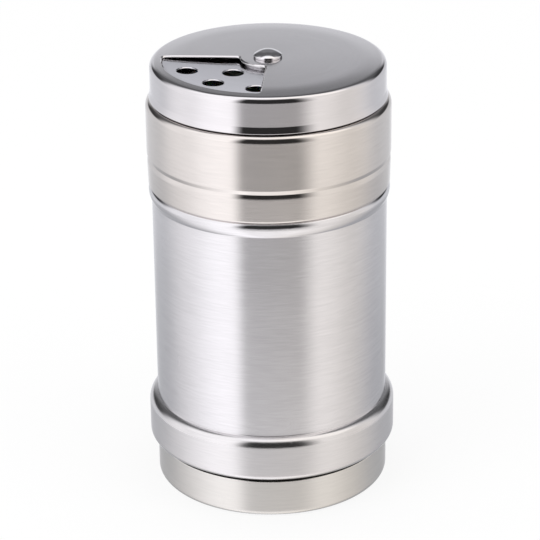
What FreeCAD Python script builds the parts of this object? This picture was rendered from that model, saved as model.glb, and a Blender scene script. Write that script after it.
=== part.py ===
import FreeCAD, Part
import os
import Sketcher
from types import SimpleNamespace

# Stainless spice shaker: a straight can on a wider foot band, a screw lid with a
# sprinkle plate, and a riveted cover whose window turns over the holes.
# Millimetres, +Z up, the origin on the axis at the face that it stands on.

doc = FreeCAD.newDocument("SpiceShaker")
sheet = doc.addObject("Spreadsheet::Sheet", "Sizes")

drivingSizes = [
    ("wall", 0.4, "thickness of all the steel sheet"),
    ("canRadius", 23.7, "outside of the straight can wall"),
    ("bulgeStandout", 1.7, "wide band near the foot, outward from the can wall"),
    ("bulgeBottom", 8.8, "height of the wide band's turned-in lower lip"),
    ("bulgeHeight", 9.3, "lower lip to upper shoulder of the wide band"),
    ("bulgeTopRound", 1.65, "rounding of the band's upper shoulder"),
    ("bulgeLipRound", 1.2, "rounding of the band's lower lip"),
    ("lipGap", 0.1, "lower lip to the base cup's wall"),
    ("baseStandout", 0.15, "base cup's wall, outward from the can wall"),
    ("baseFootRound", 1.2, "rounding at the base cup's bottom edge"),
    ("footRingWidth", 3.35, "base cup's wall to the inner wall of the foot ring"),
    ("footRingRound", 0.8, "rounding of the foot ring's inner edge"),
    ("recessDepth", 1.6, "height of the base cup's floor above the foot ring"),
    ("recessRound", 0.6, "rounding where the floor turns down to the foot ring"),
    ("baseRimGap", 0.05, "base cup's rim to the inside of the band"),
    ("baseRimRound", 0.85, "rounding at the foot of the base cup's rim"),
    ("baseRimBelow", 2.6, "top of the base cup's rim below the band's shoulder"),
    ("straightHeight", 43.2, "height of the straight can wall"),
    ("beadStandout", 0.6, "bead under the lid, outward from the can wall"),
    ("beadHeight", 2.3, "height of the bead"),
    ("beadLowRound", 0.55, "rounding of the bead's lower side"),
    ("beadHighRound", 0.9, "rounding of the bead's upper side"),
    ("neckInset", 1.8, "threaded neck, inward from the can wall"),
    ("neckHeight", 12.4, "height of the neck above the bead"),
    ("mouthRoll", 1.3, "width of the mouth's rolled-in edge"),
    ("mouthRollDrop", 1.2, "how far the rolled-in edge turns down"),
    ("mouthRound", 0.6, "rounding of the mouth's edge"),
    ("threadLead", 4.0, "rise of the thread in one turn"),
    ("threadDepth", 0.8, "height of a thread ridge"),
    ("threadRootWidth", 2.4, "width of a ridge at its root"),
    ("threadCrestWidth", 1.2, "width of a ridge at its crest"),
    ("threadClearance", 0.3, "ridge crest to the other piece's wall"),
    ("threadBury", 0.2, "how far a ridge is sunk in its wall"),
    ("threadRunIn", 3.6, "start of the can's ridge above the bead"),
    ("canThreadTurns", 1.5, "length of the can's ridge in turns"),
    ("lidThreadTurns", 1.25, "length of the lid's ridge in turns"),
    ("linerWall", 1.0, "wall of the threaded liner behind its ridge"),
    ("linerGap", 0.02, "threaded liner to the lid's lower band"),
    ("linerFootRound", 0.35, "rounding of the liner's lower outer edge"),
    ("linerHeadRound", 0.95, "rounding of the liner's upper outer edge"),
    ("linerUpperInset", 0.1, "liner's bore above its flange, inward from the bore below"),
    ("linerFlangeOverhang", 0.7, "gasket flange, inward past the gasket"),
    ("linerFlangeThickness", 0.9, "thickness of the gasket flange"),
    ("linerHeadroom", 3.7, "height of the liner above its flange"),
    ("stepRelief", 0.25, "liner's groove past the ends of the collar's step"),
    ("gasketInset", 1.6, "inside of the gasket, inward from the neck's outside"),
    ("gasketOverhang", 0.6, "outside of the gasket, outward from the neck's outside"),
    ("gasketThickness", 1.0, "thickness of the gasket"),
    ("gasketRound", 0.25, "rounding of the gasket's edges"),
    ("lidGap", 0.7, "lid's lower edge above the bead"),
    ("lidEdgeRound", 0.55, "rounding of the lid's lower edge"),
    ("lidEdgeWidth", 0.85, "width of the lid's turned-in lower edge"),
    ("bandHeight", 5.0, "height of the lid's lower band"),
    ("stepRise", 1.05, "height of the step's curve up to its deepest line"),
    ("stepFade", 1.85, "height of the slope from the deepest line to the upper band"),
    ("stepDepth", 0.38, "depth of the step below the upper band"),
    ("upperBandStandout", 0.08, "lid's upper band, outward from the lower band"),
    ("shoulderRound", 1.2, "rounding of the collar's shoulder"),
    ("coverInset", 1.1, "turning cover, inward from the upper band"),
    ("coverFootGap", 0.4, "cover's lower edge above the shoulder"),
    ("coverHeight", 7.6, "height of the turning cover at its edge"),
    ("coverCrown", 0.31, "how far the cover's middle stands above its edge"),
    ("coverTopRound", 1.2, "rounding of the cover's top edge"),
    ("coverSkirtRound", 1.1, "rounding of the cover's lower edge"),
    ("coverCurlGap", 0.35, "cover's turned-in edge to the boss"),
    ("bossInset", 1.9, "raised boss, inward from the cover"),
    ("bossFootRound", 0.3, "rounding at the foot of the boss"),
    ("bossTopRound", 0.8, "rounding at the top of the boss"),
    ("plateGap", 0.08, "sprinkle plate to the cover, at the plate's edge"),
    ("plateDish", 0.3, "how far the plate's middle lies below its edge"),
    ("seatRadius", 5.4, "flat middle of the plate and of the cover"),
    ("flatMargin", 0.15, "flat ring beside a rounded edge or the seat"),
    ("windowMargin", 0.3, "window's outer edge, inward from the boss"),
    ("windowAngle", 90.0, "angle that the window spans, in degrees"),
    ("windowMiddle", 220.6, "direction of the window's middle, in degrees from +X"),
    ("windowCorner", 0.6, "rounding of the window's corners"),
    ("largeHole", 2.03, "radius of the large holes"),
    ("largeMargin", 4.4, "outer ring of large holes, inward from the window's outer edge"),
    ("largeSpacing", 7.15, "outer to inner ring of large holes"),
    ("mediumHole", 1.3, "radius of the medium holes"),
    ("mediumMargin", 4.2, "outer ring of medium holes, inward from the window's outer edge"),
    ("mediumSpacing", 5.5, "outer to inner ring of medium holes"),
    ("smallHole", 0.75, "radius of the small holes"),
    ("smallMargin", 3.6, "outer ring of small holes, inward from the window's outer edge"),
    ("smallSpacing", 3.9, "spacing of the rings of small holes"),
    ("shankRadius", 1.5, "radius of the rivet's shank"),
    ("shankRunningGap", 0.05, "cover's bore to the rivet's shank"),
    ("turnGap", 0.02, "play of the cover between the rivet's head and the spacer"),
    ("rivetHeadRadius", 2.72, "radius of the rivet's head"),
    ("rivetHeadHeight", 1.45, "height of the rivet's domed head"),
    ("rivetTailRadius", 2.6, "radius of the rivet's upset tail"),
    ("rivetTailHeight", 0.8, "height of the rivet's upset tail"),
    ("rivetTailRound", 0.4, "rounding of the rivet's tail"),
    ("spacerInset", 0.8, "outside of the spacer washer, inward from the seat"),
    ("springRadius", 3.7, "outside of the cone spring washer"),
    ("springThickness", 0.25, "thickness of the cone spring washer"),
    ("springHeight", 0.6, "height of the cone spring washer"),
    ("backingRadius", 4.2, "outside of the backing washer"),
    ("backingThickness", 0.5, "thickness of the backing washer"),
    ("washerGap", 0.1, "washer bores to the rivet's shank"),
]

for row, (alias, number, meaning) in enumerate(drivingSizes, start=1):
    sheet.set("A%d" % row, str(number))
    sheet.setAlias("A%d" % row, alias)
    sheet.set("B%d" % row, meaning)
doc.recompute()


class Size:
    # a length that knows its value and how it is written with the sheet's names
    def __init__(self, value, text):
        self.value = float(value)
        self.text = text

    def __add__(self, other):
        other = asSize(other)
        return Size(self.value + other.value, "(%s + %s)" % (self.text, other.text))

    def __radd__(self, other):
        return asSize(other) + self

    def __sub__(self, other):
        other = asSize(other)
        return Size(self.value - other.value, "(%s - %s)" % (self.text, other.text))

    def __rsub__(self, other):
        return asSize(other) - self

    def __mul__(self, other):
        other = asSize(other)
        return Size(self.value * other.value, "(%s * %s)" % (self.text, other.text))

    def __rmul__(self, other):
        return asSize(other) * self

    def __truediv__(self, other):
        other = asSize(other)
        return Size(self.value / other.value, "(%s / %s)" % (self.text, other.text))


def asSize(number):
    return number if isinstance(number, Size) else Size(number, repr(float(number)))


def sheetSize(alias):
    return Size(sheet.get(alias), "Sizes." + alias)


s = SimpleNamespace(**{alias: sheetSize(alias) for alias, number, meaning in drivingSizes})
zero = asSize(0.0)

# Radii, outward from the can wall and inward again to the cover and its boss.
bulgeRadius = s.canRadius + s.bulgeStandout
baseRadius = s.canRadius + s.baseStandout
beadRadius = s.canRadius + s.beadStandout
neckRadius = s.canRadius - s.neckInset
linerBore = neckRadius + s.threadDepth + s.threadClearance
linerOuter = linerBore + s.linerWall
bandRadius = linerOuter + s.linerGap + s.wall
collarRadius = bandRadius + s.upperBandStandout
coverRadius = collarRadius - s.coverInset
bossRadius = coverRadius - s.bossInset
windowInner = s.seatRadius + s.flatMargin
windowOuter = bossRadius - s.windowMargin

# Heights, from the foot up.
bulgeTop = s.bulgeBottom + s.bulgeHeight
beadBottom = bulgeTop + s.straightHeight
beadTop = beadBottom + s.beadHeight
canTop = beadTop + s.neckHeight
canThreadStart = beadTop + s.threadRunIn
lidBottom = beadTop + s.lidGap
stepBottom = lidBottom + s.bandHeight
stepMiddle = stepBottom + s.stepRise
stepTop = stepMiddle + s.stepFade
gasketTop = canTop + s.gasketThickness
flangeTop = gasketTop + s.linerFlangeThickness
linerTop = flangeTop + s.linerHeadroom
shoulderTop = linerTop + s.wall
coverBottom = shoulderTop + s.coverFootGap
coverTop = coverBottom + s.coverHeight
coverSeatZ = coverTop + s.coverCrown
plateEdgeZ = coverTop - s.wall - s.plateGap
plateSeatZ = plateEdgeZ - s.plateDish
plateUnderZ = plateSeatZ - s.wall
backingTopZ = plateUnderZ - s.springHeight
backingUnderZ = backingTopZ - s.backingThickness


def corner(x, z, rounding=None, bow=None):
    # rounding is the radius of this corner, and bow the radius of a curved edge to the next one:
    # positive bulges to the right of the way that the outline runs, negative to the left
    return SimpleNamespace(x=asSize(x), z=asSize(z), rounding=rounding, bow=bow)


def bowRadius(run, rise):
    # radius of an arc that leaves one end along the run and meets the other end after the rise
    return (run * run + rise * rise) / (2.0 * rise)


def direction(here, there):
    # the main direction, along x or z, of the edge between two corners
    dx = there.x.value - here.x.value
    dz = there.z.value - here.z.value
    if abs(dx) > abs(dz):
        return (1 if dx > 0 else -1, 0)
    return (0, 1 if dz > 0 else -1)


def shifted(size, steps, amount):
    if steps == 0:
        return size
    return size + amount if steps > 0 else size - amount


def sheetOutline(skin, thickness):
    # closes an outer skin into the outline of a bent sheet that lies to the left of it
    inner = []
    last = len(skin) - 1
    for i, point in enumerate(skin):
        before = direction(skin[i - 1], point) if i > 0 else None
        after = direction(point, skin[i + 1]) if i < last else None
        normals = {(-way[1], way[0]) for way in (before, after) if way}
        stepX = sum(normal[0] for normal in normals)
        stepZ = sum(normal[1] for normal in normals)
        rounding = None
        if before and after and before != after:
            turnsLeft = before[0] * after[1] - before[1] * after[0] > 0
            base = point.rounding
            if base is not None and not turnsLeft:
                rounding = base + thickness
            elif base is not None and base.value > thickness.value * 1.05:
                rounding = base - thickness
        inner.append(corner(shifted(point.x, stepX, thickness),
                            shifted(point.z, stepZ, thickness), rounding))
    for i in range(last):
        if skin[i].bow is not None:
            inner[i + 1].bow = -1.0 * skin[i].bow
    return skin + inner[::-1]


def edgeArc(start, end, bow):
    # the arc between two points whose radius is the size of bow, on the side that its sign names
    radius = abs(bow)
    chord = end.sub(start)
    middle = start.add(end).multiply(0.5)
    right = FreeCAD.Vector(chord.y, -chord.x, 0).normalize()
    side = 1 if bow > 0 else -1
    height = radius - (radius * radius - chord.Length ** 2 / 4) ** 0.5
    return Part.Arc(start, middle.add(right.multiply(side * height)), end)


def towards(point, other, amount):
    # the end of a corner's rounding on the edge that runs to another corner
    way = direction(point, other)
    return shifted(point.x, way[0], amount), shifted(point.z, way[1], amount)


def drawOutline(body, name, corners):
    # a closed outline in the body's upright XZ plane, each point and radius tied to the sheet
    edges = []
    count = len(corners)
    for i, point in enumerate(corners):
        following = corners[(i + 1) % count]
        if point.rounding is not None:
            entry = towards(point, corners[i - 1], point.rounding)
            leave = towards(point, following, point.rounding)
            came = direction(corners[i - 1], point)
            goes = direction(point, following)
            turnsLeft = came[0] * goes[1] - came[1] * goes[0] > 0
            edges.append((entry, leave, point.rounding * (1.0 if turnsLeft else -1.0)))
        start = (point.x, point.z)
        if point.rounding is not None:
            start = towards(point, following, point.rounding)
        end = (following.x, following.z)
        if following.rounding is not None:
            end = towards(following, point, following.rounding)
        edges.append((start, end, point.bow))

    sketch = body.newObject("Sketcher::SketchObject", name)
    upright = [f for f in body.Origin.OriginFeatures if f.Role == "XZ_Plane"][0]
    sketch.AttachmentSupport = [(upright, "")]
    sketch.MapMode = "FlatFace"
    doc.recompute()

    def bind(kind, geometry, position, size):
        if abs(size.value) < 1e-9:
            axis = -2 if kind == "DistanceX" else -1
            sketch.addConstraint(Sketcher.Constraint("PointOnObject", geometry, position, axis))
            return
        rule = Sketcher.Constraint(kind, -1, 1, geometry, position, size.value)
        sketch.setExpression("Constraints[%d]" % sketch.addConstraint(rule), size.text)

    for start, end, bow in edges:
        first = FreeCAD.Vector(start[0].value, start[1].value, 0)
        second = FreeCAD.Vector(end[0].value, end[1].value, 0)
        if bow is None:
            sketch.addGeometry(Part.LineSegment(first, second))
        else:
            sketch.addGeometry(edgeArc(first, second, bow.value))
    ends = []
    for index, (start, end, bow) in enumerate(edges):
        first = FreeCAD.Vector(start[0].value, start[1].value, 0)
        # a sketch keeps arcs anticlockwise, so an arc's first point may be its second end
        swapped = sketch.getPoint(index, 1).distanceToPoint(first) > 1e-6
        ends.append((2, 1) if swapped else (1, 2))
    total = len(edges)
    for index, (start, end, bow) in enumerate(edges):
        after = (index + 1) % total
        sketch.addConstraint(Sketcher.Constraint(
            "Coincident", index, ends[index][1], after, ends[after][0]))
        bind("DistanceX", index, ends[index][0], start[0])
        bind("DistanceY", index, ends[index][0], start[1])
        if bow is not None:
            size = bow if bow.value > 0 else -1.0 * bow
            rule = Sketcher.Constraint("Radius", index, size.value)
            sketch.setExpression("Constraints[%d]" % sketch.addConstraint(rule), size.text)
    doc.recompute()
    return sketch


def newBody(label):
    body = doc.addObject("PartDesign::Body", "".join(w.capitalize() for w in label.split("_")))
    body.Label = label
    body.Placement = FreeCAD.Placement()
    return body


def turnedBody(label, corners):
    # a sub-part turned about the upright axis from its outline
    body = newBody(label)
    sketch = drawOutline(body, label + "_outline", corners)
    turned = body.newObject("PartDesign::Revolution", label + "_turned")
    turned.Profile = sketch
    turned.ReferenceAxis = (sketch, ["V_Axis"])
    turned.Angle = 360
    sketch.Visibility = False
    doc.recompute()
    body.Tip = turned
    return body


def addThread(body, name, root, crest, start, turns):
    # one thread ridge, wound anticlockwise and upward from +X; root lies inside the wall
    lowRoot = start - s.threadRootWidth / 2.0
    highRoot = start + s.threadRootWidth / 2.0
    lowCrest = start - s.threadCrestWidth / 2.0
    highCrest = start + s.threadCrestWidth / 2.0
    ridge = [corner(root, lowRoot), corner(crest, lowCrest), corner(crest, highCrest),
             corner(root, highRoot)]
    sketch = drawOutline(body, name + "_outline", ridge)
    helix = body.newObject("PartDesign::AdditiveHelix", name)
    helix.Profile = sketch
    helix.ReferenceAxis = (sketch, ["V_Axis"])
    helix.Mode = "pitch-turns-angle"
    helix.setExpression("Pitch", s.threadLead.text)
    helix.setExpression("Turns", turns.text)
    helix.Angle = 0
    helix.LeftHanded = False
    helix.Reversed = False
    doc.recompute()
    body.Tip = helix
    return helix


def makeCanWall():
    skin = [
        corner(baseRadius + s.lipGap, s.bulgeBottom),
        corner(bulgeRadius, s.bulgeBottom, s.bulgeLipRound),
        corner(bulgeRadius, bulgeTop, s.bulgeTopRound),
        corner(s.canRadius, bulgeTop),
        corner(s.canRadius, beadBottom),
        corner(beadRadius, beadBottom, s.beadLowRound),
        corner(beadRadius, beadTop, s.beadHighRound),
        corner(neckRadius, beadTop),
        corner(neckRadius, canTop, s.mouthRound),
        corner(neckRadius - s.mouthRoll, canTop, s.mouthRound),
        corner(neckRadius - s.mouthRoll, canTop - s.mouthRollDrop),
    ]
    body = turnedBody("can_wall", sheetOutline(skin, s.wall))
    addThread(body, "can_thread", neckRadius - s.threadBury,
              neckRadius + s.threadDepth, canThreadStart, s.canThreadTurns)
    return body


def makeBaseCup():
    flange = s.bulgeBottom + s.wall
    rim = bulgeRadius - s.wall - s.baseRimGap
    footRingInner = baseRadius - s.footRingWidth
    skin = [
        corner(zero, s.recessDepth),
        corner(footRingInner, s.recessDepth, s.recessRound),
        corner(footRingInner, zero, s.footRingRound),
        corner(baseRadius, zero, s.baseFootRound),
        corner(baseRadius, flange),
        corner(rim, flange, s.baseRimRound),
        corner(rim, bulgeTop - s.baseRimBelow),
    ]
    return turnedBody("base_cup", sheetOutline(skin, s.wall))


def cutHoleRing(body, name, holeRadius, ring, firstAngle, lastAngle, count):
    # round holes spaced evenly on a ring of the sprinkle plate, angles in degrees from +X
    sketch = body.newObject("Sketcher::SketchObject", name + "_outline")
    flat = [f for f in body.Origin.OriginFeatures if f.Role == "XY_Plane"][0]
    sketch.AttachmentSupport = [(flat, "")]
    sketch.MapMode = "FlatFace"
    sketch.AttachmentOffset = FreeCAD.Placement(
        FreeCAD.Vector(), FreeCAD.Rotation(FreeCAD.Vector(0, 0, 1), firstAngle))
    centre = FreeCAD.Vector(ring.value, 0, 0)
    sketch.addGeometry(Part.Circle(centre, FreeCAD.Vector(0, 0, 1), holeRadius.value))
    sketch.addConstraint(Sketcher.Constraint("PointOnObject", 0, 3, -1))
    place = sketch.addConstraint(Sketcher.Constraint("DistanceX", -1, 1, 0, 3, ring.value))
    sketch.setExpression("Constraints[%d]" % place, ring.text)
    bore = sketch.addConstraint(Sketcher.Constraint("Radius", 0, holeRadius.value))
    sketch.setExpression("Constraints[%d]" % bore, holeRadius.text)
    sketch.Visibility = False
    doc.recompute()
    before = body.Shape.Volume
    hole = body.newObject("PartDesign::Pocket", name + "_hole")
    hole.Profile = sketch
    hole.Type = "ThroughAll"
    hole.Reversed = True
    doc.recompute()
    body.Tip = hole
    doc.recompute()
    one = before - body.Shape.Volume
    pattern = body.newObject("PartDesign::PolarPattern", name)
    pattern.Originals = [hole]
    pattern.Axis = (sketch, ["N_Axis"])
    pattern.Angle = lastAngle - firstAngle
    pattern.Occurrences = count
    body.Tip = pattern
    doc.recompute()
    cut = before - body.Shape.Volume
    if one <= 0 or abs(cut - count * one) > 0.02 * cut:
        raise RuntimeError("%s cut %.4f mm3 in %d holes of %.4f" % (name, cut, count, one))


def makeLidShell():
    topRun = bossRadius - s.bossTopRound - s.flatMargin - s.seatRadius
    dishBow = bowRadius(topRun, s.plateDish)
    stepBow = bowRadius(stepMiddle - stepBottom, bandRadius - collarRadius + s.stepDepth)
    skin = [
        corner(bandRadius - s.lidEdgeWidth, lidBottom),
        corner(bandRadius, lidBottom, s.lidEdgeRound),
        corner(bandRadius, stepBottom, bow=stepBow),
        corner(collarRadius - s.stepDepth, stepMiddle),
        corner(collarRadius, stepTop),
        corner(collarRadius, shoulderTop, s.shoulderRound),
        corner(bossRadius, shoulderTop, s.bossFootRound),
        corner(bossRadius, plateEdgeZ, s.bossTopRound),
        corner(bossRadius - s.bossTopRound - s.flatMargin, plateEdgeZ, bow=-1.0 * dishBow),
        corner(s.seatRadius, plateSeatZ),
        corner(s.shankRadius, plateSeatZ),
    ]
    body = turnedBody("lid_shell", sheetOutline(skin, s.wall))
    largeRing = windowOuter - s.largeMargin
    mediumRing = windowOuter - s.mediumMargin
    smallRing = windowOuter - s.smallMargin
    # name, hole radius, ring radius, first and last angle from +X in degrees, number of holes
    holeRings = [
        ("large_outer", s.largeHole, largeRing, 199.4, 262.2, 3),
        ("large_inner", s.largeHole, largeRing - s.largeSpacing, 171.0, 225.0, 2),
        ("medium_outer", s.mediumHole, mediumRing, 93.0, 147.0, 4),
        ("medium_inner", s.mediumHole, mediumRing - s.mediumSpacing, 100.0, 140.0, 3),
        ("small_outer", s.smallHole, smallRing, 23.0, 73.0, 6),
        ("small_middle", s.smallHole, smallRing - s.smallSpacing, 23.0, 73.0, 5),
        ("small_inner", s.smallHole, smallRing - 2.0 * s.smallSpacing, 24.0, 72.0, 4),
    ]
    for name, holeRadius, ring, firstAngle, lastAngle, count in holeRings:
        cutHoleRing(body, name, holeRadius, ring, firstAngle, lastAngle, count)
    return body


def makeThreadLiner():
    groove = collarRadius - s.stepDepth - s.wall - s.linerGap
    crest = neckRadius + s.threadClearance
    bottom = lidBottom + s.wall
    upperBore = linerBore - s.linerUpperInset
    flangeBore = neckRadius - s.gasketInset - s.linerFlangeOverhang
    outline = [
        corner(linerBore, bottom),
        corner(linerOuter, bottom, s.linerFootRound),
        corner(linerOuter, stepBottom - s.stepRelief),
        corner(groove, stepBottom - s.stepRelief),
        corner(groove, stepTop + s.stepRelief),
        corner(linerOuter, stepTop + s.stepRelief),
        corner(linerOuter, linerTop, s.linerHeadRound),
        corner(upperBore, linerTop),
        corner(upperBore, flangeTop),
        corner(flangeBore, flangeTop),
        corner(flangeBore, gasketTop),
        corner(linerBore, gasketTop),
    ]
    body = turnedBody("thread_liner", outline)
    # half a turn's rise from the can's ridge, so that the two run between each other
    start = canThreadStart + s.threadLead / 2.0
    addThread(body, "lid_thread", linerBore + s.threadBury, crest, start, s.lidThreadTurns)
    return body


def makeLidGasket():
    inner = neckRadius - s.gasketInset
    outer = neckRadius + s.gasketOverhang
    outline = [
        corner(inner, canTop, s.gasketRound),
        corner(outer, canTop, s.gasketRound),
        corner(outer, gasketTop, s.gasketRound),
        corner(inner, gasketTop, s.gasketRound),
    ]
    return turnedBody("lid_gasket", outline)


def makeRotatingCover():
    crownRun = coverRadius - s.coverTopRound - s.flatMargin - s.seatRadius
    crownBow = bowRadius(crownRun, s.coverCrown)
    skin = [
        corner(bossRadius + s.coverCurlGap, coverBottom),
        corner(coverRadius, coverBottom, s.coverSkirtRound),
        corner(coverRadius, coverTop, s.coverTopRound),
        corner(coverRadius - s.coverTopRound - s.flatMargin, coverTop, bow=crownBow),
        corner(s.seatRadius, coverSeatZ),
        corner(s.shankRadius + s.shankRunningGap, coverSeatZ),
    ]
    body = turnedBody("rotating_cover", sheetOutline(skin, s.wall))
    before = body.Shape.Volume

    low = coverTop - 4.0 * s.wall
    high = coverSeatZ + 4.0 * s.wall
    slab = [corner(windowInner, low), corner(windowOuter, low),
            corner(windowOuter, high), corner(windowInner, high)]
    sketch = drawOutline(body, "window_outline", slab)
    window = body.newObject("PartDesign::Groove", "window")
    window.Profile = sketch
    window.ReferenceAxis = (sketch, ["V_Axis"])
    window.Midplane = True
    window.setExpression("Angle", s.windowAngle.text)
    doc.recompute()
    body.Tip = window
    doc.recompute()
    if body.Shape.Volume >= before - 1.0:
        raise RuntimeError("the window cut nothing")

    upright = [
        "Edge%d" % (i + 1)
        for i, edge in enumerate(window.Shape.Edges)
        if isinstance(edge.Curve, Part.Line)
        and edge.tangentAt(edge.FirstParameter).cross(FreeCAD.Vector(0, 0, 1)).Length < 1e-6
        and edge.BoundBox.ZMin > coverTop.value - 2 * s.wall.value
        and abs(edge.BoundBox.Center.y) > 0.1 * windowInner.value
    ]
    if len(upright) != 4:
        raise RuntimeError("the window has %d upright corners" % len(upright))
    corners = body.newObject("PartDesign::Fillet", "window_corners")
    corners.Base = (window, upright)
    corners.setExpression("Radius", s.windowCorner.text)
    doc.recompute()
    body.Tip = corners
    turn = FreeCAD.Rotation(FreeCAD.Vector(0, 0, 1), s.windowMiddle.value)
    body.Placement = FreeCAD.Placement(FreeCAD.Vector(), turn)
    body.setExpression("Placement.Rotation.Angle", s.windowMiddle.text)
    return body


def makeSpacerWasher():
    bore = s.shankRadius + s.washerGap
    outer = s.seatRadius - s.spacerInset
    top = coverSeatZ - s.wall - s.turnGap
    outline = [corner(bore, plateSeatZ), corner(outer, plateSeatZ),
               corner(outer, top), corner(bore, top)]
    return turnedBody("spacer_washer", outline)


def makeSpringWasher():
    bore = s.shankRadius + s.washerGap
    outline = [corner(bore, plateUnderZ - s.springThickness),
               corner(s.springRadius, backingTopZ),
               corner(s.springRadius, backingTopZ + s.springThickness),
               corner(bore, plateUnderZ)]
    return turnedBody("spring_washer", outline)


def makeBackingWasher():
    bore = s.shankRadius + s.washerGap
    outline = [corner(bore, backingUnderZ), corner(s.backingRadius, backingUnderZ),
               corner(s.backingRadius, backingTopZ), corner(bore, backingTopZ)]
    return turnedBody("backing_washer", outline)


def makePivotRivet():
    headBase = coverSeatZ + s.turnGap
    tailEnd = backingUnderZ - s.rivetTailHeight
    dome = bowRadius(s.rivetHeadRadius, s.rivetHeadHeight)
    outline = [
        corner(zero, tailEnd),
        corner(s.rivetTailRadius, tailEnd, s.rivetTailRound),
        corner(s.rivetTailRadius, backingUnderZ),
        corner(s.shankRadius, backingUnderZ),
        corner(s.shankRadius, headBase),
        corner(s.rivetHeadRadius, headBase, bow=dome),
        corner(zero, headBase + s.rivetHeadHeight),
    ]
    return turnedBody("pivot_rivet", outline)


bodies = [
    makeCanWall(),
    makeBaseCup(),
    makeLidShell(),
    makeThreadLiner(),
    makeLidGasket(),
    makeRotatingCover(),
    makeSpacerWasher(),
    makeSpringWasher(),
    makeBackingWasher(),
    makePivotRivet(),
]

doc.recompute()
for item in doc.Objects:
    if "Invalid" in item.State or "Error" in item.State:
        raise RuntimeError("%s is %s" % (item.Label, item.State))
for body in bodies:
    shape = body.Shape
    if shape.isNull() or not shape.isValid() or len(shape.Solids) != 1:
        raise RuntimeError("%s has no single valid solid" % body.Label)

os.makedirs("parts", exist_ok=True)
for body in bodies:
    body.Shape.exportStep("parts/%s.step" % body.Label)
    box = body.Shape.BoundBox
    print("%-16s %9.2f mm3   z %6.2f to %6.2f   r %6.2f"
          % (body.Label, body.Shape.Volume, box.ZMin, box.ZMax, box.XMax))
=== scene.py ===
import math
from types import SimpleNamespace

import bmesh
import bpy
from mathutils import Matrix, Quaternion, Vector
from mathutils.geometry import delaunay_2d_cdt


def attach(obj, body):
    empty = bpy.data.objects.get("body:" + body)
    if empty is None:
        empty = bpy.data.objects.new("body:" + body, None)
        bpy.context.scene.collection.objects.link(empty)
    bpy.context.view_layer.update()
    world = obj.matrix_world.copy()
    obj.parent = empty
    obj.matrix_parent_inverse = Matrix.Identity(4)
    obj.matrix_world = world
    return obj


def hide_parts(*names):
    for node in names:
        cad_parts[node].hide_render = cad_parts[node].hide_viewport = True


# Stainless spice shaker: turned and pressed steel pieces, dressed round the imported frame.
# Sizes of the pieces are millimetres from the axis and from the foot; meshes, lamps and the
# camera are in metres.

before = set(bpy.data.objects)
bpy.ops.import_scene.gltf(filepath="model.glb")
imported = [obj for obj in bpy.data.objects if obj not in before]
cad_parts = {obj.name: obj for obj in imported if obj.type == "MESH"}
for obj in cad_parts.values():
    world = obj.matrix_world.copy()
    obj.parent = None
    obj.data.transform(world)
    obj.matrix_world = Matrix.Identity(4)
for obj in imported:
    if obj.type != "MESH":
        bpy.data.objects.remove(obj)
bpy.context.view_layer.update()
mm = 0.001
segments = 192  # faces round every turned piece
weldGap = 0.001 * mm  # points closer than this are one point


# Node trees

class Wire:
    # a node's output that can be written in a sum
    def __init__(self, bench, socket):
        self.bench = bench
        self.socket = socket

    def __add__(self, other):
        return self.bench.maths("ADD", self, other)

    def __radd__(self, other):
        return self.bench.maths("ADD", other, self)

    def __sub__(self, other):
        return self.bench.maths("SUBTRACT", self, other)

    def __rsub__(self, other):
        return self.bench.maths("SUBTRACT", other, self)

    def __mul__(self, other):
        return self.bench.maths("MULTIPLY", self, other)

    def __rmul__(self, other):
        return self.bench.maths("MULTIPLY", other, self)

    def __truediv__(self, other):
        return self.bench.maths("DIVIDE", self, other)

    def __rtruediv__(self, other):
        return self.bench.maths("DIVIDE", other, self)


class Bench:
    # adds nodes to one tree
    def __init__(self, tree):
        self.tree = tree

    def add(self, kind, settings=None, inputs=None, output=0):
        node = self.tree.nodes.new(kind)
        for name, value in (settings or {}).items():
            setattr(node, name, value)
        for key, value in (inputs or {}).items():
            if isinstance(value, Wire):
                self.tree.links.new(value.socket, node.inputs[key])
            else:
                node.inputs[key].default_value = value
        return Wire(self, node.outputs[output])

    def maths(self, operation, *values):
        return self.add("ShaderNodeMath", {"operation": operation}, dict(enumerate(values)))

    def smooth(self, value, low, high, start=0.0, end=1.0):
        # runs softly from start to end as value goes from low to high
        return self.add("ShaderNodeMapRange", {"interpolation_type": "SMOOTHSTEP"},
                        {"Value": value, "From Min": low, "From Max": high,
                         "To Min": start, "To Max": end})

    def mixColours(self, share, first, second):
        return self.add("ShaderNodeMix", {"data_type": "RGBA"}, {0: share, 6: first, 7: second}, 2)

    def vector(self, x, y, z):
        return self.add("ShaderNodeCombineXYZ", None, {"X": x, "Y": y, "Z": z})

    def parts(self, vector):
        # the x, y and z of a vector
        node = self.add("ShaderNodeSeparateXYZ", None, {"Vector": vector}).socket.node
        return [Wire(self, output) for output in node.outputs]

    def sample(self, shape, index, value, kind):
        # the value at that point of the shape
        return self.add("GeometryNodeSampleIndex", {"data_type": kind},
                        {"Geometry": shape, "Index": index, "Value": value})

    def placeAt(self, shape, index):
        return self.sample(shape, index, self.add("GeometryNodeInputPosition"), "FLOAT_VECTOR")

    def numberAt(self, shape, index, name):
        stored = self.add("GeometryNodeInputNamedAttribute", {"data_type": "FLOAT"},
                          {"Name": name})
        return self.sample(shape, index, stored, "FLOAT")


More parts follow.
